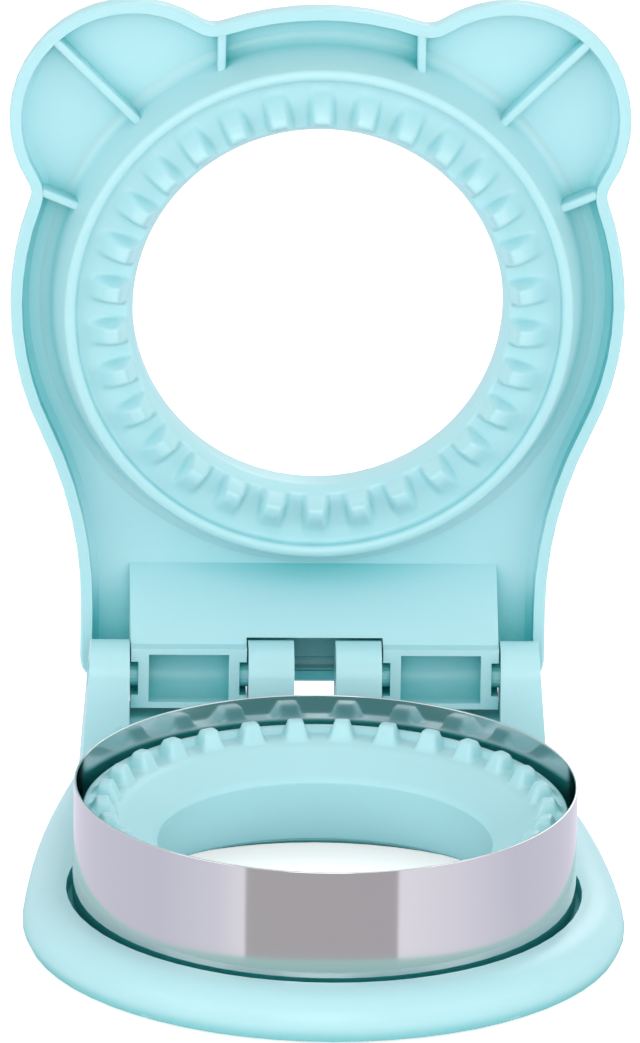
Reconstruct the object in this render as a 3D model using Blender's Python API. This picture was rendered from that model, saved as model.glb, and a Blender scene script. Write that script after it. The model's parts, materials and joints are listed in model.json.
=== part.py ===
# A hinged sandwich cutter and sealer: a round base with a steel cutting band and a toothed crimp ring,
# and a lid with two round ears and a second toothed ring. Lengths are metres, Z is up, the front faces -Y.
# Shapes are written with the ring axis at the origin and the lid closed. The lid is then swung open.

import math

import bmesh
import bpy
from mathutils import Matrix, Vector
from mathutils.geometry import interpolate_bezier

# Clearances
seat_gap = 0.0003
pin_clearance = 0.0002
overrun = 0.003
swing_clearance = 0.0005

# Steel cutting band
band_radius = 0.0475
band_wall = 0.0005
band_top_height = 0.0310
band_edge_bevel = 0.0002
band_foot_width = 0.0017

# Base
foot_proud = 0.0004
base_margin = 0.0081
base_rear_reach = 0.0202
base_rear_half_width = 0.0458
base_rear_corner = 0.0076
base_side_height = 0.0036
base_top_height = 0.0095
base_shoulder_width = 0.0068
base_edge_inset = 0.0009
base_wall = 0.0022
base_side_start_angle = math.radians(4)
base_side_end_angle = math.radians(14)
base_side_handle_share = 0.36
groove_gap = 0.0012
groove_wall = 0.0020
groove_floor_height = 0.0060
web_thickness = 0.0020

# Crimp ring
crimp_gap = 0.0012
crimp_shoulder_rise = 0.0015
crimp_rim_drop = 0.0053
crimp_rim_width = 0.0025
crimp_wall = 0.0020
crimp_valley_depth = 0.0011
crimp_slope_width = 0.0070
crimp_lip_drop = 0.0046
crimp_lip_round = 0.0008
crimp_skirt_flare = 0.0067
crimp_skirt_step = 0.0012

# Teeth of both rings
tooth_count = 30
base_tooth_length = 0.0048
base_tooth_draft = 0.0009
base_tooth_rise = 0.0032
base_tooth_tip_width = 0.0021
base_tooth_root_width = 0.0039
lid_tooth_length = 0.0037
lid_tooth_draft = 0.0008
lid_tooth_depth = 0.0053
lid_tooth_tip_width = 0.0041
lid_tooth_root_width = 0.0057

# Screws and pads under the base
screw_count = 4
screw_circle_inset = 0.0028
screw_shank_radius = 0.0011
screw_shank_length = 0.0090
screw_head_radius = 0.0021
screw_head_height = 0.0014
screw_slot_width = 0.0005
screw_slot_length = 0.0026
screw_slot_depth = 0.0007
screw_boss_radius = 0.0025
screw_boss_height = 0.0085
pad_radius = 0.0026
pad_thickness = 0.0018
pad_boss_wall = 0.0012
pad_boss_front_height = 0.0050
pad_front_angle = math.radians(38)
pad_circle_inset = 0.0046
pad_side_inset = 0.0088
pad_rear_inset = 0.0090

# Hinge
pivot_inset = 0.0068
pivot_drop = 0.0044
open_angle = math.radians(92.7)
knuckle_radius = 0.0065
arm_inset = 0.0006
arm_width = 0.0098
arm_taper = 0.0025
arm_reach = 0.0112
knuckle_inner_x = 0.0040
knuckle_outer_x = 0.0127
riser_drop = 0.0079
riser_reach = 0.0102
riser_wall = 0.0022
riser_rib_x = 0.0110
riser_rib_thickness = 0.0018
heel_thickness = 0.0024
pin_radius = 0.0024
pin_recess = 0.0006
lug_radius = 0.0059
lug_face_drop = 0.0032
lug_side_wall = 0.0020
lug_pocket_half_height = 0.00475
lug_slot_depth = 0.0014
lug_slot_half_height = 0.0033

# Lid
lid_dish_width = 0.0072
ear_radius = 0.0234
ear_x_share = 0.6109
ear_y_share = 0.6212
notch_radius = 0.0045
tab_inset = 0.0008
tab_overhang = 0.0053
tab_corner = 0.0042
tab_fillet = 0.0800
rim_wall = 0.0024
rim_depth = 0.0047
rim_edge_round = 0.0004
lid_skin = 0.0023
lid_shoulder_rise = 0.0041
lid_shoulder_width = 0.0040
lid_inner_round = 0.0012
lid_hole_step = 0.0005
crest_inner_width = 0.0072
crest_rise = 0.0014
crest_width = 0.0070
hole_lip_drop = 0.0008
plate_reach = 0.0178
plate_thickness = 0.0024
block_overhang = 0.0014
block_back_angle = math.radians(60)
rib_thickness = 0.0016
rib_straight_x = 0.0190
rib_corner_angle = math.radians(46)
rib_side_angle = math.radians(22.5)
rib_rim_drop = 0.0003
rib_toe_depth = 0.0022

# Lid press ring
collar_overlap = 0.0007
collar_margin = 0.0008
collar_flare = 0.0031
collar_rise = 0.0117
press_depth = 0.0027
press_wall = 0.0021
press_valley_width = 0.0049
press_ledge_width = 0.0024
press_hole_step = 0.0026

# Facets
ring_steps = 60
pin_steps = 20
shoulder_steps = 4
base_corner_steps = 5

# Sizes that follow from those above: base and band
band_inner = band_radius - band_wall
band_foot_height = groove_floor_height + seat_gap
web_low = groove_floor_height - web_thickness
groove_radius = band_radius + groove_gap
base_radius = groove_radius + base_margin
base_rear = base_radius + base_rear_reach
pad_circle_radius = base_radius - pad_circle_inset
pad_rear_x = base_rear_half_width - pad_side_inset
pad_rear_y = base_rear - pad_rear_inset

# Crimp ring
crimp_radius = band_inner - crimp_gap
base_tooth_outer = crimp_radius - crimp_rim_width
base_tooth_inner = base_tooth_outer - base_tooth_length
crimp_lip_radius = base_tooth_inner - crimp_slope_width
crimp_skirt_radius = crimp_lip_radius + crimp_skirt_flare
web_hole_radius = crimp_skirt_radius + crimp_wall + seat_gap
screw_circle_radius = crimp_radius - screw_circle_inset
crimp_rim_height = band_top_height - crimp_rim_drop
crimp_valley_height = crimp_rim_height - crimp_valley_depth
base_tooth_height = crimp_valley_height + base_tooth_rise
crimp_lip_height = crimp_valley_height - crimp_lip_drop
crimp_shoulder_height = base_top_height + crimp_shoulder_rise
crimp_skirt_height = web_low + crimp_skirt_step

# Hinge
pivot_y = base_rear - pivot_inset
pivot_height = band_top_height - pivot_drop
riser_top_height = pivot_height - riser_drop
pivot = Vector((0, pivot_y, pivot_height))
arm_outer_x = base_rear_half_width - arm_inset
arm_inner_x = arm_outer_x - arm_width
arm_top_outer_x = arm_outer_x - arm_taper
arm_front_y = pivot_y - arm_reach
riser_front_y = pivot_y - riser_reach
lug_inner_x = knuckle_outer_x + seat_gap
lug_outer_x = arm_inner_x - seat_gap

# Press ring
collar_inner = band_inner - collar_overlap
collar_outer = band_radius + collar_margin
collar_foot_radius = collar_outer + collar_flare
collar_height = band_top_height + seat_gap
lid_tooth_outer = collar_inner - press_valley_width
lid_tooth_inner = lid_tooth_outer - lid_tooth_length
press_hole_radius = lid_tooth_inner - press_ledge_width
press_floor_height = collar_height + press_depth
lid_tooth_tip_height = press_floor_height - lid_tooth_depth
press_hole_low = press_floor_height + press_hole_step

# Lid
lid_floor_height = collar_height + collar_rise
lid_top_height = lid_floor_height + lid_skin
lid_side_height = lid_top_height - lid_shoulder_rise
rim_height = lid_floor_height - rim_depth
rib_toe_height = lid_floor_height - rib_toe_depth
lid_radius = collar_foot_radius + lid_dish_width
ear_x = lid_radius * ear_x_share
ear_y = -lid_radius * ear_y_share
tab_half_width = arm_outer_x - tab_inset
tab_rear = pivot_y + tab_overhang
plate_front_y = pivot_y - plate_reach
block_rear_y = pivot_y + block_overhang
lid_hole_radius = press_hole_radius + lid_hole_step
crest_radius = lid_hole_radius + crest_inner_width
crest_outer_radius = crest_radius + crest_width
crest_height = lid_top_height + crest_rise
hole_lip_height = lid_floor_height - hole_lip_drop
press_hole_high = hole_lip_height - seat_gap


def clear_scene():
    for thing in list(bpy.data.objects):
        bpy.data.objects.remove(thing)


def moulded(name, colour, roughness, metallic=0):
    material = bpy.data.materials.new(name)
    material.use_nodes = True
    shader = material.node_tree.nodes["Principled BSDF"]
    shader.inputs["Base Color"].default_value = (*colour, 1)
    shader.inputs["Roughness"].default_value = roughness
    shader.inputs["Metallic"].default_value = metallic
    return material


def placed(name, bm, parent, material=None):
    """One object from a bmesh, with the parent's place taken out of its points."""
    bmesh.ops.recalc_face_normals(bm, faces=bm.faces)
    bmesh.ops.translate(bm, verts=bm.verts, vec=-Vector(parent["shape_origin"]))
    mesh = bpy.data.meshes.new(name)
    bm.to_mesh(mesh)
    bm.free()
    mesh.shade_smooth()
    mesh.set_sharp_from_angle(angle=math.radians(30))
    thing = bpy.data.objects.new(name, mesh)
    bpy.context.scene.collection.objects.link(thing)
    thing.parent = parent
    if material:
        mesh.materials.append(material)
    return thing


def combine(target, operation, name, bm):
    """A hidden tool shape that joins or cuts the target."""
    tool = placed(name, bm, target.parent)
    tool.hide_render = True
    tool.display_type = "WIRE"
    step = target.modifiers.new(name, "BOOLEAN")
    step.operation = operation
    step.solver = "EXACT"
    step.object = tool
    return tool


def add_loft(bm, rings):
    """A closed solid through rings of equal length, with both ends capped."""
    rows = [[bm.verts.new(point) for point in ring] for ring in rings]
    for low, high in zip(rows, rows[1:]):
        for i in range(len(low)):
            bm.faces.new((low[i - 1], low[i], high[i], high[i - 1]))
    bm.faces.new(rows[0])
    bm.faces.new(rows[-1])


def loft(rings):
    bm = bmesh.new()
    add_loft(bm, rings)
    return bm


def swept(sections):
    """A ring-shaped solid through closed sections given as (angle, [(radius, height), ...])."""
    bm = bmesh.new()
    rows = []
    for angle, section in sections:
        rows.append([bm.verts.new((r * math.cos(angle), r * math.sin(angle), z)) for r, z in section])
    for here, after in zip(rows, rows[1:] + rows[:1]):
        for i in range(len(here)):
            bm.faces.new((here[i - 1], here[i], after[i], after[i - 1]))
    return bm


def turned(section, steps=ring_steps):
    return swept([(math.tau * i / steps, section) for i in range(steps)])


def add_cylinder(bm, radius, start, end, steps=pin_steps):
    """A closed cylinder between two points on an axis-aligned line."""
    middle = (start + end) / 2
    turn = (end - start).to_track_quat("Z", "Y").to_matrix().to_4x4()
    bmesh.ops.create_cone(
        bm,
        cap_ends=True,
        segments=steps,
        radius1=radius,
        radius2=radius,
        depth=(end - start).length,
        matrix=Matrix.Translation(middle) @ turn,
    )


def upright(radius, low, high, steps=ring_steps, x=0, y=0):
    bm = bmesh.new()
    add_cylinder(bm, radius, Vector((x, y, low)), Vector((x, y, high)), steps)
    return bm


def add_box(bm, low, high):
    middle = (Vector(low) + Vector(high)) / 2
    size = Vector(high) - Vector(low)
    bmesh.ops.create_cube(bm, size=1, matrix=Matrix.Translation(middle) @ Matrix.Diagonal((*size, 1)))


def add_slab(bm, outline, x_start, x_end):
    """A (y, z) outline extruded along X."""
    add_loft(bm, [[(x, y, z) for y, z in outline] for x in (x_start, x_end)])


def arc(centre, radius, start, end, steps, outward=1):
    """Points and outward normals along an arc. A hollow corner has its normals towards its centre."""
    found = []
    for i in range(steps + 1):
        angle = start + (end - start) * i / steps
        way = Vector((math.cos(angle), math.sin(angle)))
        found.append((Vector(centre) + way * radius, way * outward))
    return found


def mirrored_loop(half):
    """A closed loop from its left half, which runs from the rear centre to the front centre."""
    right = [(Vector((-p.x, p.y)), Vector((-n.x, n.y))) for p, n in reversed(half)]
    return half + [pair for pair in right if abs(pair[0].x) > seat_gap]


def inset(loop, distance, height):
    return [(p.x - n.x * distance, p.y - n.y * distance, height) for p, n in loop]


def bearing(origin, target):
    way = Vector(target) - Vector(origin)
    return math.atan2(way.y, way.x) % math.tau


def base_loop():
    """Round front, sides that draw in towards the hinge, and a straight rear between two round corners."""
    corner = Vector((-base_rear_half_width + base_rear_corner, base_rear - base_rear_corner))
    half = [(Vector((0, base_rear)), Vector((0, 1)))]
    half += arc(corner, base_rear_corner, math.pi / 2, math.pi - base_side_end_angle, base_corner_steps)
    start, start_normal = half[-1]
    front = arc((0, 0), base_radius, math.pi - base_side_start_angle, math.pi * 3 / 2, 16)
    end, end_normal = front[0]
    reach = (end - start).length * base_side_handle_share
    start_handle = start + Vector((-start_normal.y, start_normal.x)) * reach
    end_handle = end - Vector((-end_normal.y, end_normal.x)) * reach
    side = interpolate_bezier(*[v.to_3d() for v in (start, start_handle, end_handle, end)], 9)
    for before, here, after in zip(side, side[1:], side[2:]):
        along = (after - before).normalized()
        half.append((here.to_2d(), Vector((along.y, -along.x))))
    return mirrored_loop(half + front)


def arm_bounds_loop():
    """Keeps the arms inside the base's rear corners, with facets half a step away from the base's own."""
    corner = Vector((-base_rear_half_width + base_rear_corner, base_rear - base_rear_corner))
    half_step = (math.pi / 2 - base_side_end_angle) / base_corner_steps / 2
    ends = (math.pi / 2 + half_step, math.pi + half_step)
    half = arc(corner, base_rear_corner - base_edge_inset, *ends, base_corner_steps)
    return mirrored_loop(half + [(Vector((-base_radius, 0)), Vector((-1, 0)))])


def meeting_centre(first, first_reach, second, second_reach, side):
    """Where circles round two points cross, on the given side of the line from the first to the second."""
    first = Vector(first)
    line = Vector(second) - first
    along = (first_reach**2 - second_reach**2 + line.length_squared) / (2 * line.length)
    across = math.sqrt(first_reach**2 - along**2)
    way = line.normalized()
    return first + way * along + Vector((-way.y, way.x)) * across * side


def falling(start, end):
    """The end angle, brought below the start so that an arc runs clockwise."""
    return end if end < start else end - math.tau


def rising(start, end):
    return end if end > start else end + math.tau


def lid_loop():
    """Face circle, two ear circles, round notches between them, and the straight-sided hinge tab."""
    corner = Vector((-tab_half_width + tab_corner, tab_rear - tab_corner))
    half = [(Vector((0, tab_rear)), Vector((0, 1)))]
    half += arc(corner, tab_corner, math.pi / 2, math.pi, 4)
    hollow_y = math.sqrt((lid_radius + tab_fillet) ** 2 - (tab_half_width + tab_fillet) ** 2)
    hollow = Vector((-tab_half_width - tab_fillet, hollow_y))
    half += arc(hollow, tab_fillet, 0, falling(0, bearing(hollow, (0, 0))), 6, -1)
    face_start = bearing((0, 0), hollow)
    ear = Vector((-ear_x, ear_y))
    reaches = (lid_radius + notch_radius, ear, ear_radius + notch_radius)
    side_notch = meeting_centre((0, 0), *reaches, -1)
    top_notch = meeting_centre((0, 0), *reaches, 1)
    face_end = rising(face_start, bearing((0, 0), side_notch))
    half += arc((0, 0), lid_radius, face_start, face_end, 9)[1:]
    start = bearing(side_notch, (0, 0))
    half += arc(side_notch, notch_radius, start, falling(start, bearing(side_notch, ear)), 4, -1)[1:]
    start = bearing(ear, side_notch)
    half += arc(ear, ear_radius, start, rising(start, bearing(ear, top_notch)), 18)[1:]
    start = bearing(top_notch, ear)
    half += arc(top_notch, notch_radius, start, falling(start, bearing(top_notch, (0, 0))), 4, -1)[1:]
    start = bearing((0, 0), top_notch)
    half += arc((0, 0), lid_radius, start, rising(start, math.pi * 3 / 2), 4)[1:]
    return mirrored_loop(half)


def shoulder(loop, start_inset, width, low, rise):
    """Rings along a quarter of an ellipse, from a side wall up and in to a flat top."""
    rings = []
    for i in range(shoulder_steps + 1):
        angle = math.pi / 2 * i / shoulder_steps
        rings.append(inset(loop, start_inset + width * (1 - math.cos(angle)), low + rise * math.sin(angle)))
    return rings


def toothed(profile, phase, tip_width, root_width, middle_radius):
    """Sections round the ring: profile(False) in the valleys and profile(True) on the teeth."""
    sections = []
    for i in range(tooth_count):
        centre = phase + math.tau * i / tooth_count
        tip = tip_width / middle_radius / 2
        root = root_width / middle_radius / 2
        for offset, raised in ((-root, False), (-tip, True), (tip, True), (root, False)):
            sections.append((centre + offset, profile(raised)))
    return sections


def opened(point):
    """A (y, z) place on the closed lid, after the lid has swung open."""
    arm = Vector((0, *point)) - pivot
    return (Matrix.Rotation(-open_angle, 3, "X") @ arm + pivot).yz


def build_band(frame, steel):
    edge = band_top_height - band_edge_bevel
    foot_top = band_foot_height + band_wall
    foot_radius = band_radius - band_foot_width
    section = [
        (band_radius, edge),
        (band_radius, band_foot_height),
        (foot_radius, band_foot_height),
        (foot_radius, foot_top),
        (band_inner, foot_top),
        (band_inner, band_top_height),
        (band_radius - band_edge_bevel, band_top_height),
    ]
    placed("cutter_ring", turned(section), frame, steel)


def crimp_profile(raised):
    """Half section of the crimp ring: outer wall, toothed top, slope, lip and the skirt inside the web's hole."""
    top = base_tooth_height if raised else crimp_valley_height
    shoulder_radius = band_inner - seat_gap
    shoulder_low = band_foot_height + band_wall + seat_gap
    return [
        (shoulder_radius, shoulder_low),
        (shoulder_radius, crimp_shoulder_height),
        (crimp_radius, crimp_shoulder_height),
        (crimp_radius, crimp_rim_height),
        (base_tooth_outer + base_tooth_draft, crimp_rim_height),
        (base_tooth_outer, top),
        (base_tooth_inner, top),
        (base_tooth_inner - base_tooth_draft, crimp_valley_height),
        (crimp_lip_radius + crimp_lip_round, crimp_lip_height),
        (crimp_lip_radius, crimp_lip_height - crimp_lip_round),
        (crimp_skirt_radius, crimp_skirt_height),
        (crimp_skirt_radius + crimp_wall, crimp_skirt_height),
        (crimp_lip_radius + crimp_wall + crimp_lip_round, crimp_lip_height - crimp_wall - crimp_lip_round),
        (base_tooth_inner, crimp_valley_height - crimp_wall - crimp_lip_round),
        (crimp_radius - crimp_wall, crimp_valley_height - crimp_wall - crimp_lip_round),
        (crimp_radius - crimp_wall, shoulder_low),
    ]


def screw_places():
    for i in range(screw_count):
        angle = math.tau * (i + 1 / 2) / screw_count
        yield screw_circle_radius * math.cos(angle), screw_circle_radius * math.sin(angle)


def build_crimp_ring(frame, plastic):
    middle = (base_tooth_inner + base_tooth_outer) / 2
    quarter = math.pi / 2 + math.tau / tooth_count / 2
    sections = toothed(crimp_profile, quarter, base_tooth_tip_width, base_tooth_root_width, middle)
    ring = placed("crimp_ring", swept(sections), frame, plastic)
    low = groove_floor_height + seat_gap
    bosses = bmesh.new()
    holes = bmesh.new()
    hole_radius = screw_shank_radius + pin_clearance
    for x, y in screw_places():
        add_cylinder(bosses, screw_boss_radius, Vector((x, y, low)), Vector((x, y, low + screw_boss_height)))
        hole_high = web_low + screw_shank_length
        add_cylinder(holes, hole_radius, Vector((x, y, low - overrun)), Vector((x, y, hole_high)), pin_steps // 2)
    combine(ring, "UNION", "crimp_bosses", bosses)
    combine(ring, "DIFFERENCE", "crimp_boss_holes", holes)


def build_screws(frame, zinc):
    """Alike screws, heads below the web, that share one mesh."""
    head_top = web_low - seat_gap
    head_low = head_top - screw_head_height
    top = head_top + screw_shank_length - seat_gap
    bm = bmesh.new()
    add_cylinder(bm, screw_head_radius, Vector((0, 0, head_low)), Vector((0, 0, head_top)), pin_steps // 2)
    pattern = placed("screw_pattern", bm, frame, zinc)
    shank = upright(screw_shank_radius, head_low + screw_slot_depth + seat_gap, top, pin_steps // 2)
    combine(pattern, "UNION", "screw_shank", shank)
    reach, half = screw_slot_length / 2, screw_slot_width / 2
    for name, x, y in (("slot_across", reach, half), ("slot_along", half, reach)):
        slot = bmesh.new()
        add_box(slot, (-x, -y, head_low - overrun), (x, y, head_low + screw_slot_depth))
        combine(pattern, "DIFFERENCE", name, slot)
    bpy.context.view_layer.update()
    graph = bpy.context.evaluated_depsgraph_get()
    mesh = bpy.data.meshes.new_from_object(pattern.evaluated_get(graph))
    pattern.hide_render = True
    pattern.display_type = "WIRE"
    for i, (x, y) in enumerate(screw_places(), 1):
        screw = bpy.data.objects.new(f"base_screw_{i}", mesh)
        bpy.context.scene.collection.objects.link(screw)
        screw.parent = frame
        screw.location = (x, y, 0)


def pad_places():
    for side in (-1, 1):
        angle = math.pi / 2 - pad_front_angle * side
        yield pad_circle_radius * math.cos(angle), -pad_circle_radius * math.sin(angle)
    for side in (-1, 1):
        yield pad_rear_x * side, pad_rear_y


def build_pads(frame, rubber):
    for i, (x, y) in enumerate(pad_places(), 1):
        placed(f"foot_{i}", upright(pad_radius, 0, pad_thickness, pin_steps, x, y), frame, rubber)


def arm_outline(foot_height):
    """Side view of an arm or knuckle: round over the pivot, upright behind, and sloped down to the front."""
    foot = Vector((arm_front_y, foot_height))
    centre = pivot.yz
    reach = (foot - centre).length
    touch = bearing(centre, foot) - math.acos(knuckle_radius / reach)
    around = arc(centre, knuckle_radius, 0, touch, 10)
    return [(foot.x, foot.y), (centre.x + knuckle_radius, foot.y)] + [tuple(p) for p, _ in around]


def heel_outline():
    """Open stop behind an arm: its top lies just under the tab of the open lid."""
    stop_y = tab_rear + seat_gap
    first = opened((stop_y, rim_height))
    last = opened((stop_y, lid_side_height))
    return [
        (pivot_y, first.y),
        tuple(first),
        tuple(last),
        (last.x, last.y - heel_thickness),
        (base_rear - base_edge_inset, base_side_height + base_wall),
        (pivot_y, base_side_height + base_wall),
    ]


def build_base(frame, plastic):
    loop = base_loop()
    rise = base_top_height - base_side_height
    rings = [inset(loop, base_edge_inset, foot_proud)]
    rings += [inset(loop, 0, foot_proud + base_edge_inset * 2)]
    rings += shoulder(loop, 0, base_shoulder_width, base_side_height, rise)
    base = placed("base_shell", loft(rings), frame, plastic)

    knuckles = bmesh.new()
    low = base_side_height / 2
    add_slab(knuckles, arm_outline(low), knuckle_inner_x, knuckle_outer_x)
    add_slab(knuckles, arm_outline(low), -knuckle_outer_x, -knuckle_inner_x)
    riser = bmesh.new()
    riser_half = arm_inner_x + riser_wall
    riser_rear = pivot_y + knuckle_radius - seat_gap
    add_box(riser, (-riser_half, riser_front_y, low), (riser_half, riser_rear, riser_top_height))
    arms = bmesh.new()
    for side in (-1, 1):
        outline = arm_outline(low)
        inner = [(side * arm_inner_x, y, z) for y, z in outline]
        top = pivot_height + knuckle_radius
        draft = (arm_top_outer_x - arm_outer_x) / (top - low)
        outer = [(side * (arm_outer_x + draft * (z - low)), y, z) for y, z in outline]
        add_loft(arms, [inner, outer])
    heels = bmesh.new()
    for side in (-1, 1):
        inner_x = arm_inner_x + riser_wall / 2
        outer_x = arm_top_outer_x - riser_wall / 2
        add_slab(heels, heel_outline(), side * inner_x, side * outer_x)
    combine(base, "UNION", "riser_block", riser)
    combine(base, "UNION", "base_knuckles", knuckles)
    combine(base, "UNION", "base_heels", heels)
    arm_tool = combine(base, "UNION", "base_arms", arms)
    above = pivot_height + knuckle_radius + overrun
    bounds = loft([inset(arm_bounds_loop(), 0, height) for height in (0, above)])
    combine(arm_tool, "INTERSECT", "arm_bounds", bounds)

    hollow_rings = [inset(loop, base_edge_inset + base_wall, -overrun)]
    hollow_rise = rise - base_wall
    hollow_width = base_shoulder_width - base_wall
    hollow_rings += shoulder(loop, base_wall, hollow_width, base_side_height, hollow_rise)
    hollow = combine(base, "DIFFERENCE", "base_hollow", loft(hollow_rings))
    keep = upright(groove_radius + groove_wall, -overrun * 2, base_top_height + overrun)
    combine(hollow, "DIFFERENCE", "groove_keep", keep)

    cells = bmesh.new()
    cell_front = riser_front_y + riser_wall
    cell_rear = pivot_y + knuckle_radius - riser_wall
    cell_top = riser_top_height - riser_wall
    edges = (-arm_inner_x, -riser_rib_x, riser_rib_x, arm_inner_x)
    for left, right in zip(edges, edges[1:]):
        half_rib = riser_rib_thickness / 2
        add_box(cells, (left + half_rib, cell_front, -overrun), (right - half_rib, cell_rear, cell_top))
    combine(base, "DIFFERENCE", "riser_cells", cells)

    pocket_top = groove_floor_height + base_top_height
    combine(base, "DIFFERENCE", "groove_bore", upright(groove_radius, groove_floor_height, pocket_top))
    combine(base, "DIFFERENCE", "web_recess", upright(groove_radius, -overrun, web_low))
    combine(base, "DIFFERENCE", "web_hole", upright(web_hole_radius, -overrun * 2, pocket_top))

    bosses = bmesh.new()
    recesses = bmesh.new()
    for x, y in pad_places():
        boss_radius = pad_radius + seat_gap + pad_boss_wall
        boss_top = pad_boss_front_height if y < 0 else base_top_height - base_wall / 2
        boss_low = foot_proud + seat_gap
        add_cylinder(bosses, boss_radius, Vector((x, y, boss_low)), Vector((x, y, boss_top)))
        high = pad_thickness + seat_gap
        add_cylinder(recesses, pad_radius + seat_gap, Vector((x, y, -overrun)), Vector((x, y, high)))
    combine(base, "UNION", "pad_bosses", bosses)
    combine(base, "DIFFERENCE", "pad_recesses", recesses)

    holes = bmesh.new()
    for x, y in screw_places():
        radius = screw_shank_radius + seat_gap
        add_cylinder(holes, radius, Vector((x, y, web_low - overrun)), Vector((x, y, pocket_top)), pin_steps // 2)
    combine(base, "DIFFERENCE", "screw_holes", holes)

    bores = bmesh.new()
    for side in (-1, 1):
        ends = [Vector((side * x, *pivot.yz)) for x in (knuckle_inner_x - overrun, arm_outer_x + overrun)]
        add_cylinder(bores, pin_radius + pin_clearance, *ends)
    combine(base, "DIFFERENCE", "pin_bores", bores)


def build_pins(frame, plastic):
    arm_share = (pivot_height - base_top_height) / (pivot_height + knuckle_radius - base_top_height)
    arm_face = arm_outer_x + (arm_top_outer_x - arm_outer_x) * arm_share
    pocket_inner = lug_inner_x + lug_slot_depth + lug_side_wall
    pocket_outer = lug_outer_x - lug_slot_depth - lug_side_wall
    spans = (
        ("inner", knuckle_inner_x + pin_recess, pocket_inner),
        ("outer", pocket_outer, arm_face - pin_recess),
    )
    for word, side in (("left", -1), ("right", 1)):
        for place, start, end in spans:
            bm = bmesh.new()
            add_cylinder(bm, pin_radius, *[Vector((side * x, *pivot.yz)) for x in (start, end)])
            placed(f"hinge_pin_{word}_{place}", bm, frame, plastic)


def barrel_outline(radius, low_height, steps):
    """A half round over the pivot with straight sides down to a flat face."""
    around = arc(pivot.yz, radius, 0, math.pi, steps)
    return [tuple(p) for p, _ in around] + [(pivot_y - radius, low_height), (pivot_y + radius, low_height)]


def block_outline():
    """Side view of the hinge block: sloped front plate, flat lug face, round back, and a rear line to the skin."""
    buried = (lid_floor_height + lid_top_height) / 2
    face_height = pivot_height - lug_face_drop
    back = arc(pivot.yz, lug_radius, 0, block_back_angle, 6)
    front = [(plate_front_y, buried), (pivot_y - lug_radius, pivot_height)]
    face = [(pivot_y - lug_radius, face_height), (pivot_y + lug_radius, face_height)]
    return front + face + [tuple(p) for p, _ in back] + [(block_rear_y, buried)]


def behind_plate(radius, end_angle):
    """Side view of the space between the front plate, a round of this radius over the pivot, and the skin."""
    buried = (lid_floor_height + lid_top_height) / 2
    top = lid_floor_height - seat_gap
    lean = (pivot_y - lug_radius - plate_front_y) / (buried - pivot_height)
    start = Vector((plate_front_y + plate_thickness + lean * (buried - top), top))
    way = Vector((lean, -1)).normalized()
    to_centre = pivot.yz - start
    reach = to_centre.dot(way)
    half_chord = math.sqrt(radius**2 - (to_centre - way * reach).length_squared)
    touch = start + way * (reach - half_chord)
    around = arc(pivot.yz, radius, bearing(pivot.yz, touch), end_angle, 10)
    rear = tab_rear - rim_wall - overrun / 4
    far = pivot_y + radius + overrun
    low = around[-1][0].y
    outline = [tuple(start)] + [tuple(p) for p, _ in around] + [(far, low)]
    return outline + [(far, rim_height - overrun), (rear, rim_height - overrun / 2), (rear, top)]


def add_rib(bm, start, end):
    """An upright web between two plan points, from the rim's height down to a low toe."""
    along = (Vector(end) - Vector(start)).normalized()
    across = Vector((-along.y, along.x)) * rib_thickness / 2
    buried = lid_floor_height + rim_wall / 2
    rim_low = rim_height + rib_rim_drop
    sides = []
    for way in (-1, 1):
        a, b = Vector(start) + across * way, Vector(end) + across * way
        sides.append([(*a, rim_low), (*b, rib_toe_height), (*b, buried), (*a, buried)])
    add_loft(bm, sides)


def add_lid_ribs(bm):
    buried = rim_wall / 2
    toe = collar_foot_radius + seat_gap
    for side in (-1, 1):
        x = rib_straight_x
        start_y = math.sqrt(lid_radius**2 - x**2) - buried
        add_rib(bm, (side * x, -start_y), (side * x, -math.sqrt(toe**2 - x**2)))
        ear = Vector((side * ear_x, ear_y))
        way = Vector((side * math.cos(rib_corner_angle), -math.sin(rib_corner_angle)))
        add_rib(bm, ear + way * (ear_radius - buried), way * toe)
        way = Vector((side * math.cos(rib_side_angle), -math.sin(rib_side_angle)))
        add_rib(bm, way * (lid_radius - buried), way * toe)


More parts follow.
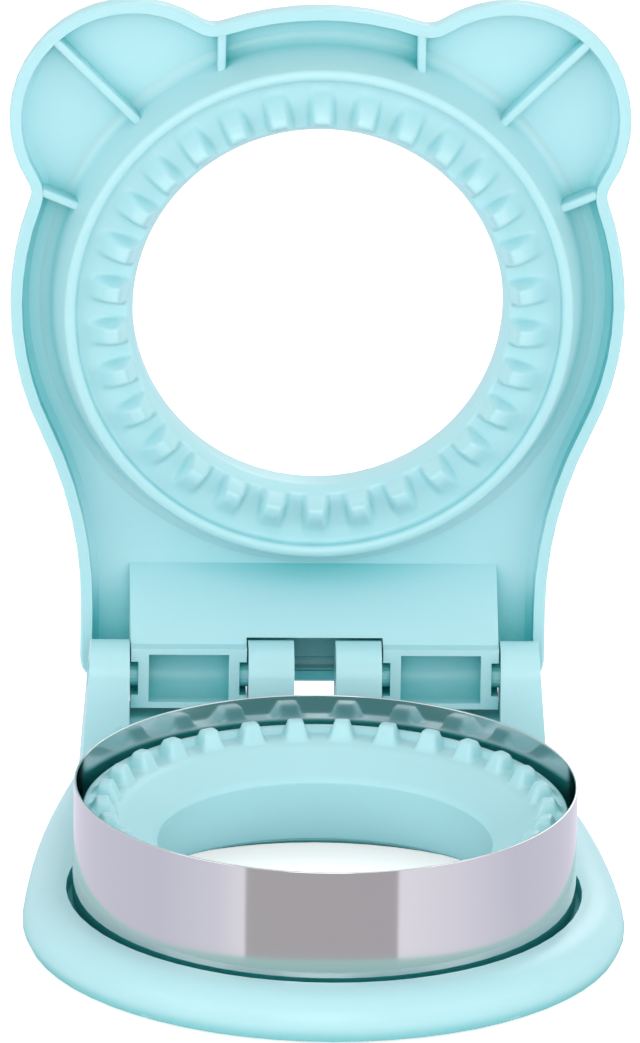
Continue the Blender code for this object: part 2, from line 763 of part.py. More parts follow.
def build_lid(frame, plastic):
    loop = lid_loop()
    rise = lid_top_height - lid_side_height
    rings = [inset(loop, rim_edge_round, rim_height), inset(loop, 0, rim_height + rim_edge_round)]
    rings += shoulder(loop, 0, lid_shoulder_width, lid_side_height, rise)
    lid = placed("lid_shell", loft(rings), frame, plastic)
    inner = rim_wall - rim_edge_round
    hollow = [
        inset(loop, inner, rim_height - overrun),
        inset(loop, rim_wall, lid_floor_height - lid_inner_round),
        inset(loop, rim_wall + lid_inner_round, lid_floor_height),
    ]
    combine(lid, "DIFFERENCE", "lid_hollow", loft(hollow))
    above = lid_top_height + overrun
    bore_radius = (crest_radius + crest_outer_radius) / 2
    half_step = math.pi / ring_steps
    around = arc((0, 0), bore_radius, half_step, half_step + math.tau, ring_steps)[1:]
    bore = loft([inset(around, 0, height) for height in (rim_height, above)])
    combine(lid, "DIFFERENCE", "lid_bore", bore)

    skin = lid_top_height - lid_floor_height
    crest = [
        (crest_outer_radius, lid_top_height - skin / 4),
        (crest_outer_radius, lid_floor_height + skin / 4),
        (lid_hole_radius + skin, lid_floor_height + skin / 4),
        (lid_hole_radius, hole_lip_height),
        (lid_hole_radius, hole_lip_height + skin / 2),
        (lid_hole_radius + skin / 2, crest_height - skin / 2),
        (crest_radius - skin / 2, crest_height - skin / 8),
        (crest_radius, crest_height),
        (crest_radius + skin / 2, crest_height - skin / 8),
        (crest_outer_radius - skin / 2, lid_top_height + skin / 8),
    ]
    combine(lid, "UNION", "lid_crest", turned(list(reversed(crest))))

    ribs = bmesh.new()
    add_lid_ribs(ribs)
    combine(lid, "UNION", "lid_ribs", ribs)

    block = bmesh.new()
    add_slab(block, block_outline(), -lug_outer_x, lug_outer_x)
    combine(lid, "UNION", "hinge_block", block)
    hollows = bmesh.new()
    add_slab(hollows, behind_plate(knuckle_radius + swing_clearance, math.pi * 3 / 2), -lug_inner_x, lug_inner_x)
    cheek_wall = lug_slot_depth + lug_side_wall
    pockets = bmesh.new()
    slots = bmesh.new()
    bores = bmesh.new()
    low = pivot_height - lug_face_drop - overrun
    for side in (-1, 1):
        pocket = (side * (lug_inner_x + cheek_wall), side * (lug_outer_x - cheek_wall))
        add_slab(hollows, behind_plate(lug_radius, 0), *pocket)
        add_slab(pockets, barrel_outline(lug_pocket_half_height, low, 10), *pocket)
        slot = barrel_outline(lug_slot_half_height, low, 8)
        add_slab(slots, slot, side * (lug_inner_x - seat_gap), side * (lug_inner_x + lug_slot_depth))
        add_slab(slots, slot, side * (lug_outer_x - lug_slot_depth), side * (lug_outer_x + seat_gap))
        for start in (lug_inner_x, lug_outer_x - cheek_wall):
            reach = cheek_wall + seat_gap
            ends = [Vector((side * x, *pivot.yz)) for x in (start - seat_gap, start + reach)]
            add_cylinder(bores, pin_radius + pin_clearance, *ends)
    combine(lid, "DIFFERENCE", "block_hollows", hollows)
    combine(lid, "DIFFERENCE", "lug_pockets", pockets)
    combine(lid, "DIFFERENCE", "lug_slots", slots)
    combine(lid, "DIFFERENCE", "lug_bores", bores)


def press_profile(raised):
    """Half section of the press ring: collar, floor with teeth, and the wall round the through hole."""
    foot_high = lid_floor_height - seat_gap
    tip = lid_tooth_tip_height if raised else press_floor_height
    draft = lid_tooth_draft if raised else lid_tooth_draft / 2
    return [
        (collar_foot_radius, foot_high),
        (collar_outer, collar_height),
        (collar_inner, collar_height),
        (collar_inner, press_floor_height),
        (lid_tooth_outer + lid_tooth_draft, press_floor_height),
        (lid_tooth_outer + lid_tooth_draft - draft, tip),
        (lid_tooth_inner - lid_tooth_draft + draft, tip),
        (lid_tooth_inner - lid_tooth_draft, press_floor_height),
        (press_hole_radius, press_hole_low),
        (press_hole_radius, press_hole_high),
        (press_hole_radius + press_wall - seat_gap, press_hole_high),
        (press_hole_radius + press_wall - seat_gap, press_floor_height + press_wall),
        (collar_inner - press_wall, press_floor_height + press_wall),
        (collar_foot_radius - press_wall, foot_high),
    ]


def build_press_ring(frame, plastic):
    middle = (lid_tooth_inner + lid_tooth_outer) / 2
    sections = toothed(press_profile, -math.pi / 2, lid_tooth_tip_width, lid_tooth_root_width, middle)
    placed("lid_press_ring", swept(sections), frame, plastic)


def empty(name, origin, parent=None):
    thing = bpy.data.objects.new(name, None)
    bpy.context.scene.collection.objects.link(thing)
    thing["shape_origin"] = origin
    thing.parent = parent
    return thing


def centre_on_footprint(frame):
    """Moves the whole part so that the middle of its box, seen from above, is on the origin."""
    bpy.context.view_layer.update()
    graph = bpy.context.evaluated_depsgraph_get()
    reach = []
    for thing in bpy.context.scene.objects:
        if thing.type == "MESH" and not thing.hide_render:
            seen = thing.evaluated_get(graph)
            reach += [(seen.matrix_world @ v.co).y for v in seen.data.vertices]
    frame.location.y = -(min(reach) + max(reach)) / 2
    print("ring axis at y =", round(frame.location.y, 6), "pivot at y =", round(frame.location.y + pivot_y, 6))


def main():
    clear_scene()
    aqua = moulded("aqua_moulded_plastic", (0.40, 0.79, 0.82), 0.38)
    steel = moulded("polished_stainless_steel", (0.75, 0.74, 0.76), 0.12, 1)
    zinc = moulded("zinc_plated_steel", (0.62, 0.63, 0.64), 0.30, 1)
    rubber = moulded("pale_grey_rubber", (0.62, 0.64, 0.64), 0.75)

    base_frame = empty("base_frame", Vector((0, 0, 0)))
    lid_hinge = empty("lid_hinge", pivot.copy(), base_frame)
    lid_hinge.location = pivot
    lid_hinge.rotation_euler.x = -open_angle

    build_base(base_frame, aqua)
    build_band(base_frame, steel)
    build_crimp_ring(base_frame, aqua)
    build_screws(base_frame, zinc)
    build_pads(base_frame, rubber)
    build_pins(base_frame, aqua)
    build_lid(lid_hinge, aqua)
    build_press_ring(lid_hinge, aqua)
    centre_on_footprint(base_frame)


main()
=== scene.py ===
import json
import math

import bmesh
import bpy
from mathutils import Matrix, Vector


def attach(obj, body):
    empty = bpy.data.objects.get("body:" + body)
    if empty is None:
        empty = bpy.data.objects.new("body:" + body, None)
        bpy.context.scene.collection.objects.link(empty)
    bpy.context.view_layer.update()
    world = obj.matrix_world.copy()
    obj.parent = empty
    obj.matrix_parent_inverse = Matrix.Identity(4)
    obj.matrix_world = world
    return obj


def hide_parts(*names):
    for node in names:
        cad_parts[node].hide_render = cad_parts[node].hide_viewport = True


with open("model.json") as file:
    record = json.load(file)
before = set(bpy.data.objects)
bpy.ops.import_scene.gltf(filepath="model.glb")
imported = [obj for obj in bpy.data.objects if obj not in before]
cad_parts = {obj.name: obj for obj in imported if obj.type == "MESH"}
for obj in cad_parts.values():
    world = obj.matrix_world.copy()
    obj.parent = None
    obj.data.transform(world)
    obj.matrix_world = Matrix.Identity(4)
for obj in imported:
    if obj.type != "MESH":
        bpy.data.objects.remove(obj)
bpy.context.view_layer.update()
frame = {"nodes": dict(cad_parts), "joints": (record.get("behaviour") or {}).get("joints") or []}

mm = 0.001  # sizes below are in millimetres where a note names no other unit
pivot = Vector(frame["joints"][0]["pos_m"])
ringAxis = Vector((0, -0.019405, 0))  # the steel band's axis, seen from above
openAngle = math.radians(92.7)  # the lid stands this far open at rest
toothCount = 30
pitch = math.tau / toothCount


# mesh helpers: round shapes are made about the origin and moved onto the ring's axis last

def wire(bm, points):
    # a closed chain of edges through (radius, height) points
    verts = [bm.verts.new((r * mm, 0, z * mm)) for r, z in points]
    for a, b in zip(verts, verts[1:] + verts[:1]):
        bm.edges.new((a, b))
    return verts


def softened(bm, verts, radius, segments=2):
    bmesh.ops.bevel(
        bm, geom=verts, offset=radius * mm, offset_type="OFFSET", segments=segments,
        profile=0.5, affect="VERTICES", material=-1,
    )


def turned(bm, angle):
    bmesh.ops.rotate(bm, cent=(0, 0, 0), matrix=Matrix.Rotation(angle, 3, "Z"), verts=bm.verts)


def spun(bm, steps, angle=math.tau):
    full = abs(angle - math.tau) < 1e-6
    bmesh.ops.spin(
        bm, geom=bm.verts[:] + bm.edges[:], cent=(0, 0, 0), axis=(0, 0, 1),
        angle=angle, steps=steps, use_merge=full,
    )


def merged(bm):
    bmesh.ops.remove_doubles(bm, verts=bm.verts, dist=1e-6)
    bmesh.ops.recalc_face_normals(bm, faces=bm.faces)


def ontoRingAxis(bm):
    bmesh.ops.translate(bm, vec=ringAxis, verts=bm.verts)


def lidOpened(bm):
    # swings a shape that was made on the closed lid to where the open lid is
    bmesh.ops.rotate(bm, cent=pivot, matrix=Matrix.Rotation(-openAngle, 3, "X"), verts=bm.verts)


def linked(name, bm, material):
    mesh = bpy.data.meshes.new(name)
    bm.to_mesh(mesh)
    bm.free()
    mesh.materials.append(material)
    thing = bpy.data.objects.new(name, mesh)
    bpy.context.scene.collection.objects.link(thing)
    return thing


def evenNormals(piece):
    # keeps long faces flat beside their small fillets
    piece.modifiers.new("evenNormals", "WEIGHTED_NORMAL").keep_sharp = True


def finished(name, bm, material, body, nodes=(), sharp=40, evened=True):
    piece = linked(name, bm, material)
    piece.data.shade_smooth()
    piece.data.set_sharp_from_angle(angle=math.radians(sharp))
    if evened:
        evenNormals(piece)
    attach(piece, body)
    if nodes:
        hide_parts(*nodes)
    return piece


# material helpers

def linear(code):
    # sRGB hex to the linear colour that the shader wants
    parts = [int(code[i:i + 2], 16) / 255 for i in (1, 3, 5)]
    return tuple(p / 12.92 if p <= 0.04045 else ((p + 0.055) / 1.055) ** 2.4 for p in parts) + (1.0,)


def scaleFor(size):
    # the scale at which one patch of a pattern is this many millimetres wide
    return 1 / (size * mm)


def addNode(tree, kind, settings=None, links=None):
    node = tree.nodes.new(kind)
    for key, value in (settings or {}).items():
        if key in node.inputs:
            node.inputs[key].default_value = value
        else:
            setattr(node, key, value)
    for key, (source, output) in (links or {}).items():
        tree.links.new(source.outputs[output], node.inputs[key])
    return node


def startMaterial(name, settings):
    material = bpy.data.materials.new(name)
    material.use_nodes = True
    tree = material.node_tree
    shader = tree.nodes["Principled BSDF"]
    for key, value in settings.items():
        shader.inputs[key].default_value = value
    return material, tree, shader


print("materials")

plasticLook = {
    "colour": "#B6E3E9",        # pale aqua masterbatch
    "deepColour": "#AFDEE5",    # where the melt ran thinner
    "paintedShadeColour": "#36C0C2",  # painted shade: a deeper teal laid into hollows where nearby surfaces hide the point
    "paintedShadeReach": 14.0,        # mm, how far round a point the painted shade looks for surfaces that hide it
    "paintedShadeRange": (0.07, 0.58),  # how open a point is where the painted shade is full, and where it is gone
    "roughness": (0.31, 0.41),
    "grain": 0.45,              # mm, a real spark-eroded grain is finer and wouldn't show
    "grainDepth": 0.03,         # mm
    "flow": 28.0,               # mm, width of the soft flow marks
}


def mouldedPlastic():
    # Injection-moulded polypropylene: satin, a little light passes under the skin, faint flow marks, and
    # painted shade that deepens the colour in hollows
    material, tree, shader = startMaterial("injectionMouldedPolypropylene", {
        "IOR": 1.49, "Subsurface Weight": 0.12, "Subsurface Scale": 0.003,
        "Subsurface Radius": (0.6, 1.0, 1.0),
    })
    place = addNode(tree, "ShaderNodeTexCoord")
    flow = addNode(
        tree, "ShaderNodeTexNoise", {"Scale": scaleFor(plasticLook["flow"]), "Detail": 2.0},
        {"Vector": (place, "Object")},
    )
    tint = addNode(
        tree, "ShaderNodeMix",
        {"data_type": "RGBA", "A": linear(plasticLook["colour"]), "B": linear(plasticLook["deepColour"])},
        {"Factor": (flow, "Fac")},
    )
    # painted shade: ambient occlusion mixes the colour towards a deeper teal in channels, pockets and
    # creases
    hollow = addNode(
        tree, "ShaderNodeAmbientOcclusion", {"Distance": plasticLook["paintedShadeReach"] * mm, "samples": 8},
    )
    tinted, clear = plasticLook["paintedShadeRange"]
    openness = addNode(
        tree, "ShaderNodeMapRange", {"From Min": tinted, "From Max": clear}, {"Value": (hollow, "AO")},
    )
    paintedShade = addNode(
        tree, "ShaderNodeMix", {"data_type": "RGBA", "A": linear(plasticLook["paintedShadeColour"])},
        {"Factor": (openness, "Result"), "B": (tint, "Result")},
    )
    tree.links.new(paintedShade.outputs["Result"], shader.inputs["Base Color"])
    low, high = plasticLook["roughness"]
    gloss = addNode(tree, "ShaderNodeMapRange", {"To Min": low, "To Max": high}, {"Value": (flow, "Fac")})
    tree.links.new(gloss.outputs["Result"], shader.inputs["Roughness"])
    grain = addNode(
        tree, "ShaderNodeTexNoise", {"Scale": scaleFor(plasticLook["grain"]), "Detail": 1.0},
        {"Vector": (place, "Object")},
    )
    bump = addNode(
        tree, "ShaderNodeBump", {"Strength": 0.12, "Distance": plasticLook["grainDepth"] * mm},
        {"Height": (grain, "Fac")},
    )
    tree.links.new(bump.outputs["Normal"], shader.inputs["Normal"])
    return material


steelLook = {
    "colour": "#CACCCC",
    "roughness": (0.06, 0.12),
    "line": 0.25,       # mm between rolling lines, drawn coarser than real ones so that they show
    "lineRun": 60.0,    # mm that one line runs round the band
    "lineDepth": 0.01,  # mm
}


def polishedSteel():
    # Cold-rolled stainless strip, polished: a mirror with faint rolling lines round the band
    material, tree, shader = startMaterial("polishedStainlessStrip", {
        "Base Color": linear(steelLook["colour"]), "Metallic": 1.0,
    })
    place = addNode(tree, "ShaderNodeTexCoord")
    across, along = scaleFor(steelLook["line"]), scaleFor(steelLook["lineRun"])
    drawn = addNode(
        tree, "ShaderNodeMapping", {"Scale": (along, along, across)}, {"Vector": (place, "Object")},
    )
    lines = addNode(tree, "ShaderNodeTexNoise", {"Scale": 1.0, "Detail": 3.0}, {"Vector": (drawn, "Vector")})
    low, high = steelLook["roughness"]
    gloss = addNode(tree, "ShaderNodeMapRange", {"To Min": low, "To Max": high}, {"Value": (lines, "Fac")})
    tree.links.new(gloss.outputs["Result"], shader.inputs["Roughness"])
    bump = addNode(
        tree, "ShaderNodeBump", {"Strength": 0.06, "Distance": steelLook["lineDepth"] * mm},
        {"Height": (lines, "Fac")},
    )
    tree.links.new(bump.outputs["Normal"], shader.inputs["Normal"])
    return material


zincLook = {
    "colour": "#C2C4C6",
    "roughness": (0.24, 0.42),
    "cloud": 1.5,  # mm, width of its milky patches
}


def zincPlating():
    # Zinc-plated screw steel: grey metal with a slightly milky, uneven gloss
    material, tree, shader = startMaterial("zincPlatedSteel", {
        "Base Color": linear(zincLook["colour"]), "Metallic": 1.0,
    })
    place = addNode(tree, "ShaderNodeTexCoord")
    cloud = addNode(
        tree, "ShaderNodeTexNoise", {"Scale": scaleFor(zincLook["cloud"]), "Detail": 3.0},
        {"Vector": (place, "Object")},
    )
    low, high = zincLook["roughness"]
    gloss = addNode(tree, "ShaderNodeMapRange", {"To Min": low, "To Max": high}, {"Value": (cloud, "Fac")})
    tree.links.new(gloss.outputs["Result"], shader.inputs["Roughness"])
    return material


rubberLook = {
    "colour": "#CDD0D0",
    "roughness": 0.78,
    "pit": 0.35,       # mm across
    "pitDepth": 0.04,  # mm
}


def padRubber():
    # Moulded thermoplastic rubber: matte, with a fine pitted skin
    material, tree, shader = startMaterial("mouldedPadRubber", {
        "Base Color": linear(rubberLook["colour"]), "Roughness": rubberLook["roughness"],
    })
    place = addNode(tree, "ShaderNodeTexCoord")
    pits = addNode(
        tree, "ShaderNodeTexVoronoi", {"Scale": scaleFor(rubberLook["pit"])}, {"Vector": (place, "Object")},
    )
    bump = addNode(
        tree, "ShaderNodeBump", {"Strength": 0.3, "Distance": rubberLook["pitDepth"] * mm},
        {"Height": (pits, "Distance")},
    )
    tree.links.new(bump.outputs["Normal"], shader.inputs["Normal"])
    return material


plastic = mouldedPlastic()
steel = polishedSteel()
zinc = zincPlating()
rubber = padRubber()


print("toothed rings")

# for both rings, heights are those with the lid closed
crimpLook = {
    # half section: outer foot, rim, valley, slope, lip, then back underneath
    "profile": [
        (46.7, 6.8), (46.7, 11.0), (45.8, 11.0), (45.8, 25.7), (44.3, 25.7), (43.4, 24.6),
        (38.9, 24.6), (32.3, 20.1), (31.5, 19.1),
        (38.2, 5.2), (40.2, 5.2), (34.3, 17.2), (38.5, 21.8), (43.8, 21.8), (43.8, 6.8),
    ],
    "round": [0.2, 0.2, 0.1, 0.45, 0.45, 0.3, 1.5, 0.3, 0.35, 0.25, 0.25, 0.5, 0.5, 0.5, 0.25],
    "finer": (36.4, 45.4, 23.9),  # the stretch that carries teeth: radius from, radius to, and its level
    "toothTop": 27.9,
    "toothInner": (39.0, 41.2),   # radius where a tooth starts, and where it is full
    "toothOuter": (44.9, 42.9),
    "tipHalf": 1.2,               # half widths of a tooth at its top and its root
    "rootHalf": 2.55,
}

pressLook = {
    # half section: the collar's flared foot, its side, its crest, the toothed floor, the hole, then behind
    "profile": [
        (53.2, 43.05), (51.9, 42.75), (51.0, 41.9), (50.4, 40.0), (48.3, 31.3), (46.3, 31.3), (46.3, 34.0),
        (36.4, 34.0), (35.3, 36.6), (35.3, 41.9), (37.1, 41.9), (37.1, 36.1), (44.2, 36.1), (49.3, 43.05),
    ],
    "round": [0.0, 0.5, 0.5, 1.2, 0.85, 0.85, 0.9, 0.5, 0.4, 0.4, 0.4, 0.4, 0.5, 0.0],
    "finer": (36.2, 45.8, -34.3),  # these teeth point down, so the level is counted downwards
    "toothTop": 29.6,
    "toothInner": (36.5, 37.7),
    "toothOuter": (44.4, 39.4),   # a long soft ramp from the collar's side
    "tipHalf": 1.35,
    "rootHalf": 2.8,
}


def eased(value, start, end):
    # 0 at start, 1 at end, with a soft start and stop
    t = min(1, max(0, (value - start) / (end - start)))
    return t * t * (3 - 2 * t)


def roundedSection(bm, look):
    corners = wire(bm, look["profile"])
    for radius in sorted(set(look["round"]) - {0.0}):
        softened(bm, [v for v, r in zip(corners, look["round"]) if r == radius], radius, 3)


def toothedRing(look, firstTooth, topSide, steps=20):
    # one pitch of the section is spun and its tooth is raised, then the pitch is spun round as copies
    bm = bmesh.new()
    roundedSection(bm, look)
    low, high, level = look["finer"]
    for longest in (1.8, 0.9, 0.45):  # halves what is still long where the teeth will stand
        coarse = [
            e for e in bm.edges
            if e.calc_length() > longest * mm
            and all(low <= v.co.x / mm <= high and v.co.z * topSide / mm > level - 0.1 for v in e.verts)
        ]
        bmesh.ops.subdivide_edges(bm, edges=coarse, cuts=1)
    turned(bm, -pitch / 2)
    spun(bm, steps, pitch)
    inner, outer, top = look["toothInner"], look["toothOuter"], look["toothTop"]
    for v in bm.verts:
        r, z = v.co.xy.length / mm, v.co.z / mm
        if z * topSide < level:
            continue
        aside = abs(math.atan2(v.co.y, v.co.x)) * r
        rise = eased(r, *inner) * eased(r, *outer) * eased(aside, look["rootHalf"], look["tipHalf"])
        v.co.z += (top - z) * rise * mm
    turned(bm, firstTooth)
    bmesh.ops.spin(
        bm, geom=bm.verts[:] + bm.edges[:] + bm.faces[:], cent=(0, 0, 0), axis=(0, 0, 1),
        angle=math.tau - pitch, steps=toothCount - 1, use_duplicate=True,
    )
    merged(bm)
    ontoRingAxis(bm)
    return bm


crimpBm = toothedRing(crimpLook, math.pi / 2 + pitch / 2, 1)
finished("crimpRing", crimpBm, plastic, "base", ["crimp_ring"], sharp=75)
pressBm = toothedRing(pressLook, -math.pi / 2, -1)
lidOpened(pressBm)
finished("pressRing", pressBm, plastic, "lid", ["lid_press_ring"], sharp=75)


print("steel band")

bandLook = {
    # half section of the wall and its turned-in foot
    "profile": [(47.5, 6.3), (45.8, 6.3), (45.8, 6.8), (47.0, 6.8), (47.0, 31.0), (47.5, 31.0)],
    "edgeRound": 0.16,
    "steps": 240,
}


def steelBand():
    bm = bmesh.new()
    softened(bm, wire(bm, bandLook["profile"]), bandLook["edgeRound"])
    spun(bm, bandLook["steps"])
    merged(bm)
    ontoRingAxis(bm)
    finished("steelBand", bm, steel, "base", ["cutter_ring"], sharp=50)


steelBand()


seamLook = {
    "angle": 98.2,  # degrees round from the right, at the rear
    "width": 0.3,
    "wall": 47.0,   # radius of the band's inner face
    "sunk": 0.1,    # how far it reaches into the wall
    "proud": 0.05,  # what the spot-welded end stands in from the wall
    "low": 7.2,
    "high": 30.7,
}


def bandSeam():
    # the strip's end, which shows as a fine upright line inside
    bm = bmesh.new()
    outer, inner = seamLook["wall"] + seamLook["sunk"], seamLook["wall"] - seamLook["proud"]
    low, high = seamLook["low"], seamLook["high"]
    wire(bm, [(outer, low), (inner, low), (inner, high), (outer, high)])
    sweep = seamLook["width"] / seamLook["wall"]
    turned(bm, math.radians(seamLook["angle"]) - sweep / 2)
    spun(bm, 2, sweep)
    bmesh.ops.holes_fill(bm, edges=[e for e in bm.edges if e.is_boundary], sides=0)
    merged(bm)
    ontoRingAxis(bm)
    finished("bandSeam", bm, steel, "base", sharp=30)


bandSeam()


print("base and lid")

shellLook = {
    "edgeRound": 0.45,  # mm, how far the moulded edges are rounded
    "segments": 3,
    "edgeAngle": 32.0,  # degrees, a blunter edge isn't rounded
    "flatAngle": 0.6,   # degrees, faces that meet at less become one
}


def dressedShell(node, name, body):
    # a copy of the CAD's mesh with its triangles merged to faces, then rounded at the edges
    bm = bmesh.new()
    bm.from_mesh(frame["nodes"][node].data)
    bmesh.ops.remove_doubles(bm, verts=bm.verts, dist=1e-6)
    bmesh.ops.dissolve_limit(
        bm, angle_limit=math.radians(shellLook["flatAngle"]), verts=bm.verts, edges=bm.edges,
    )
    piece = finished(name, bm, plastic, body, [node], sharp=180, evened=False)
    edge = piece.modifiers.new("roundedEdges", "BEVEL")
    edge.width = shellLook["edgeRound"] * mm
    edge.segments = shellLook["segments"]
    edge.limit_method = "ANGLE"
    edge.angle_limit = math.radians(shellLook["edgeAngle"])
    edge.use_clamp_overlap = True
    evenNormals(piece)


dressedShell("base_shell", "baseShell", "base")
dressedShell("lid_shell", "lidShell", "lid")


ribLook = {
    "width": 1.7,
    "crest": 38.35,       # height of the crests with the lid closed, level with the rim
    "foot": 43.2,
    "reach": 49.3,        # radius where they end inside the collar
    "rimRadius": 57.4,
    "straightX": 19.0,    # how far aside the two beside the lid's middle stand
    "ear": (35.8, 36.4),  # the ear's middle, to the side and forward
    "earReach": 22.2,     # from the ear's middle to its rim
    "cornerAngle": 46.0,  # degrees forward from the side, of the rib across the ear
    "sideAngle": 22.5,    # and of the rib behind it
    "edgeRound": 0.6,
}


def ribEnds():
    # where each rib of one half of the lid starts at the rim and ends at the collar
    rim, reach, x = ribLook["rimRadius"], ribLook["reach"], ribLook["straightX"]
    straight = [Vector((x, -math.sqrt(r ** 2 - x ** 2))) for r in (rim, reach)]
    corner, side = (
        Vector((math.cos(math.radians(a)), -math.sin(math.radians(a))))
        for a in (ribLook["cornerAngle"], ribLook["sideAngle"])
    )
    ear = Vector((ribLook["ear"][0], -ribLook["ear"][1]))
    return [straight, (ear + corner * ribLook["earReach"], corner * reach), (side * rim, side * reach)]


def lidRibs():
    # level crests over the lid's ribs, from the rim into the collar
    bm = bmesh.new()
    height = ribLook["foot"] - ribLook["crest"]
    middle = (ribLook["foot"] + ribLook["crest"]) / 2
    for start, end in ribEnds():
        along = end - start
        size = Matrix.Diagonal((along.length * mm, ribLook["width"] * mm, height * mm, 1))
        turn = Matrix.Rotation(math.atan2(along.y, along.x), 4, "Z")
        place = Matrix.Translation(((start + end) / 2).to_3d() * mm + Vector((0, 0, middle * mm)))
        bmesh.ops.create_cube(bm, size=1, matrix=place @ turn @ size)
    bmesh.ops.mirror(bm, geom=bm.verts[:] + bm.edges[:] + bm.faces[:], axis="X", merge_dist=0)
    bmesh.ops.bevel(
        bm, geom=bm.edges[:], offset=ribLook["edgeRound"] * mm, offset_type="OFFSET", segments=3,
        profile=0.5, affect="EDGES", material=-1,
    )
    merged(bm)
    ontoRingAxis(bm)
    lidOpened(bm)
    finished("lidRibs", bm, plastic, "lid")


lidRibs()


print("pins, pads and screws")

for name, node in frame["nodes"].items():
    for start, material in (("hinge_pin", plastic), ("base_screw", zinc), ("foot", rubber)):
        if name.startswith(start):
            node.material_slots[0].material = material


print("floor, light and camera")

studio = {
    "floorHalf": 6.0,          # m from the middle of the floor to its sides
    "floorDrop": 0.2,          # mm under the pads
    "floorLift": 0.7,          # glow that only the camera sees, so that the floor comes near white
    "skyLevel": (1.08, 0.51),  # at the horizon and straight above
    "lamps": {
        # name: (place, aim, size, watts), in metres
        "keyAhead": ((-0.1, -1.5, 0.64), (0, 0, 0.06), (0.8, 0.8), 5.8),
        "sideLeft": ((-1.4, -0.8, 0.7), (0, 0.02, 0.08), (0.9, 0.9), 4.0),
        "sideRight": ((1.4, -0.8, 0.7), (0, 0.02, 0.08), (0.9, 0.9), 4.0),
        "overhead": ((0.1, -0.3, 1.6), (0, 0, 0.05), (0.9, 0.9), 1.6),
        "behind": ((0.5, 1.5, 1.0), (0, 0, 0.08), (0.9, 0.9), 6.0),
    },
    # the bright table under the through hole, which lights the wall round it from below
    "tableGlow": ((0, -0.0194, 0.0001), (0, -0.0194, 0.1), (0.044, 0.044), 0.0052),
}


def floorAndWorld():
    bm = bmesh.new()
    bmesh.ops.create_grid(bm, x_segments=8, y_segments=8, size=studio["floorHalf"])
    bmesh.ops.translate(bm, vec=(0, 0, -studio["floorDrop"] * mm), verts=bm.verts)
    material, tree, shader = startMaterial("whiteSweep", {
        "Base Color": (0.9, 0.9, 0.9, 1), "Roughness": 0.9, "Specular IOR Level": 0,
        "Emission Color": (1, 1, 1, 1),
    })
    path = addNode(tree, "ShaderNodeLightPath")
    lift = addNode(tree, "ShaderNodeMath", {"operation": "MULTIPLY"}, {0: (path, "Is Camera Ray")})
    lift.inputs[1].default_value = studio["floorLift"]
    tree.links.new(lift.outputs[0], shader.inputs["Emission Strength"])
    linked("floor", bm, material)

    world = bpy.data.worlds.new("whiteStudio")
    bpy.context.scene.world = world
    world.use_nodes = True
    tree = world.node_tree
    back = tree.nodes["Background"]
    back.inputs["Color"].default_value = (1, 1, 1, 1)
    place = addNode(tree, "ShaderNodeTexCoord")
    height = addNode(tree, "ShaderNodeSeparateXYZ", None, {"Vector": (place, "Generated")})
    low, high = studio["skyLevel"]
    sky = addNode(tree, "ShaderNodeMapRange", {"To Min": low, "To Max": high}, {"Value": (height, "Z")})
    # the camera, mirrors and clear things see plain white instead of that sky
    path = addNode(tree, "ShaderNodeLightPath")
    white = (path, "Is Camera Ray")
    for ray in ("Is Glossy Ray", "Is Transmission Ray"):
        white = addNode(tree, "ShaderNodeMath", {"operation": "MAXIMUM"}, {0: white, 1: (path, ray)}), 0
    level = addNode(
        tree, "ShaderNodeMix", {"data_type": "FLOAT", "B": 1.0}, {"Factor": white, "A": (sky, "Result")},
    )
    tree.links.new(level.outputs["Result"], back.inputs["Strength"])


cardLook = {
    "reach": 1.5,         # m, radius of the widest card
    "step": 0.1,          # mm that each card lies above the one before, and the first above the ground
    "glowMost": 1.25,     # strength of the cards, so that their colour ramps stay under 1
    # painted reflection that the steel shows in place of the floor, by degrees from straight ahead:
    # a grey wedge in front, pale lavender beside it that fades a shade darker towards the sides
    "around": [
        (-180.0, (0.92, 0.88, 1.04)),
        (-80.0, (0.86, 0.83, 0.98)),
        (-52.0, (0.98, 0.94, 1.08)),
        (-38.4, (1.16, 1.10, 1.20)),
        (-38.2, (0.62, 0.58, 0.60)),
        (31.2, (0.62, 0.57, 0.61)),
        (31.4, (1.18, 1.12, 1.22)),
        (60.0, (1.06, 1.00, 1.14)),
        (90.0, (0.86, 0.83, 0.98)),
        (180.0, (0.92, 0.88, 1.04)),
    ],
    "wedgePoint": 25.0,   # mm, where the wedge's edges meet in front of the band's axis
    # painted reflection at the steel's foot: dark teal just round the base, darker nearer the band, by
    # millimetres from the band's axis
    "apron": [
        (48.0, (0.12, 0.30, 0.31)),
        (62.0, (0.22, 0.42, 0.43)),
        (77.0, (0.48, 0.76, 0.75)),
        (82.0, (0.56, 0.86, 0.84)),
    ],
    "apronSquash": 0.88,  # its reach to the sides, as a share of its reach ahead
    "well": (0.10, 0.28, 0.29),  # painted dark reflection of the shade inside the ring
    "wellRadius": 41.0,   # mm
}


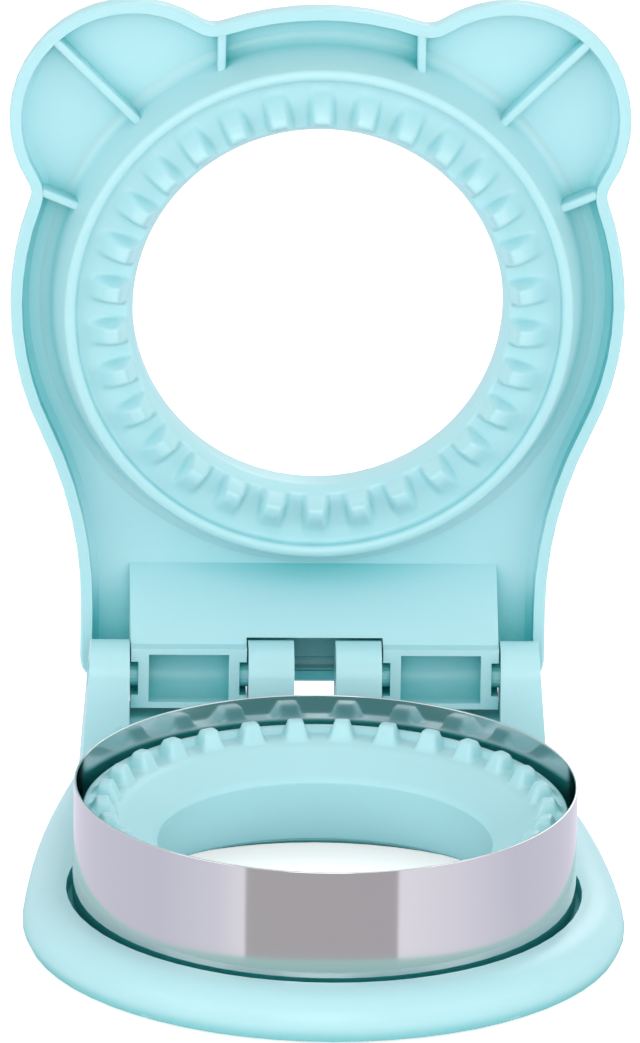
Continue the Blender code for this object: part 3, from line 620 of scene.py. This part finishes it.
def paintedReflectionCard(name, reach, level, gradient, placing, stops, squash=1.0):
    # a round glowing card that only reflections see, lying just over the floor: a painted reflection, in
    # colours that change across it
    bm = bmesh.new()
    bmesh.ops.create_circle(bm, cap_ends=True, segments=96, radius=reach)
    bmesh.ops.scale(bm, vec=(squash, 1, 1), verts=bm.verts)
    bmesh.ops.translate(bm, vec=(0, 0, level * cardLook["step"] * mm), verts=bm.verts)
    ontoRingAxis(bm)
    material = bpy.data.materials.new(name)
    material.use_nodes = True
    tree = material.node_tree
    tree.nodes.remove(tree.nodes["Principled BSDF"])
    place = addNode(tree, "ShaderNodeTexCoord")
    centred = addNode(
        tree, "ShaderNodeMapping", {"vector_type": "TEXTURE", **placing}, {"Vector": (place, "Object")},
    )
    across = addNode(
        tree, "ShaderNodeTexGradient", {"gradient_type": gradient}, {"Vector": (centred, "Vector")},
    )
    ramp = addNode(tree, "ShaderNodeValToRGB", None, {"Fac": (across, "Fac")})
    most = cardLook["glowMost"]
    for share, _ in stops[1:-1]:
        ramp.color_ramp.elements.new(share)
    for element, (share, colour) in zip(ramp.color_ramp.elements, stops):
        element.position = share
        element.color = tuple(c / most for c in colour) + (1,)
    glow = addNode(tree, "ShaderNodeEmission", {"Strength": most}, {"Color": (ramp, "Color")})
    tree.links.new(glow.outputs["Emission"], tree.nodes["Material Output"].inputs["Surface"])
    card = linked(name, bm, material)
    for ray in ("camera", "diffuse", "shadow", "transmission", "volume_scatter"):
        setattr(card, "visible_" + ray, False)


def reflectionCards():
    wedgePoint = ringAxis - Vector((0, cardLook["wedgePoint"] * mm, 0))
    around = [(angle / 360 + 0.5, colour) for angle, colour in cardLook["around"]]
    # painted reflection: a grey wedge and lavender round the steel
    paintedReflectionCard(
        "paintedReflectionAround", cardLook["reach"], 1, "RADIAL",
        {"Location": wedgePoint, "Rotation": (0, 0, -math.pi / 2)}, around,
    )
    # painted reflection: a dark teal ring that the steel's foot shows
    apron, squash = cardLook["apron"], cardLook["apronSquash"]
    reach = apron[-1][0]
    outwards = [(1 - radius / reach, colour) for radius, colour in reversed(apron)]
    paintedReflectionCard(
        "paintedReflectionApron", reach * mm, 2, "SPHERICAL",
        {"Location": ringAxis, "Scale": (squash * reach * mm, reach * mm, 1)}, outwards, squash,
    )
    # painted reflection: a dark card inside the ring that the steel's inner wall shows as shade
    well = cardLook["well"]
    paintedReflectionCard("paintedReflectionWell", cardLook["wellRadius"] * mm, 3, "LINEAR", {}, [(0, well), (1, well)])


def softbox(name, place, aim, size, watts):
    lamp = bpy.data.lights.new(name, "AREA")
    lamp.shape = "RECTANGLE"
    lamp.size, lamp.size_y = size
    lamp.energy = watts
    thing = bpy.data.objects.new(name, lamp)
    bpy.context.scene.collection.objects.link(thing)
    thing.location = place
    thing.rotation_euler = (Vector(aim) - Vector(place)).to_track_quat("-Z", "Y").to_euler()
    return thing


view = {
    "azimuth": -2.1,  # degrees
    "elevation": 20.17,
    "roll": 1.016,
    "distance": 5.03,  # m
    "target": (-0.00053, 0.020595, 0.06873),  # m
    "pictureHeight": 1043,
    "pixelsPerMm": 5.28327,  # of that picture, at the target
}


def placeCamera():
    lens = bpy.data.cameras.new("camera")
    camera = bpy.data.objects.new("camera", lens)
    bpy.context.scene.collection.objects.link(camera)
    azimuth, elevation = math.radians(view["azimuth"]), math.radians(view["elevation"])
    level = math.cos(elevation)
    back = Vector((math.sin(azimuth) * level, -math.cos(azimuth) * level, math.sin(elevation)))
    camera.location = Vector(view["target"]) + back * view["distance"]
    look = (-back).to_track_quat("-Z", "Y").to_matrix()
    camera.rotation_euler = (look @ Matrix.Rotation(math.radians(view["roll"]), 3, "Z")).to_euler()
    lens.sensor_width = 36  # spans the longer side, which is the picture's height
    lens.lens = lens.sensor_width * view["distance"] / (view["pictureHeight"] / view["pixelsPerMm"] * mm)
    lens.clip_start, lens.clip_end = 0.1, 50
    bpy.context.scene.camera = camera


floorAndWorld()
reflectionCards()
for lampName, settings in studio["lamps"].items():
    softbox(lampName, *settings)
tableGlow = softbox("tableGlow", *studio["tableGlow"])
tableGlow.visible_camera = tableGlow.visible_glossy = False
placeCamera()
bpy.context.scene.view_settings.view_transform = "Standard"
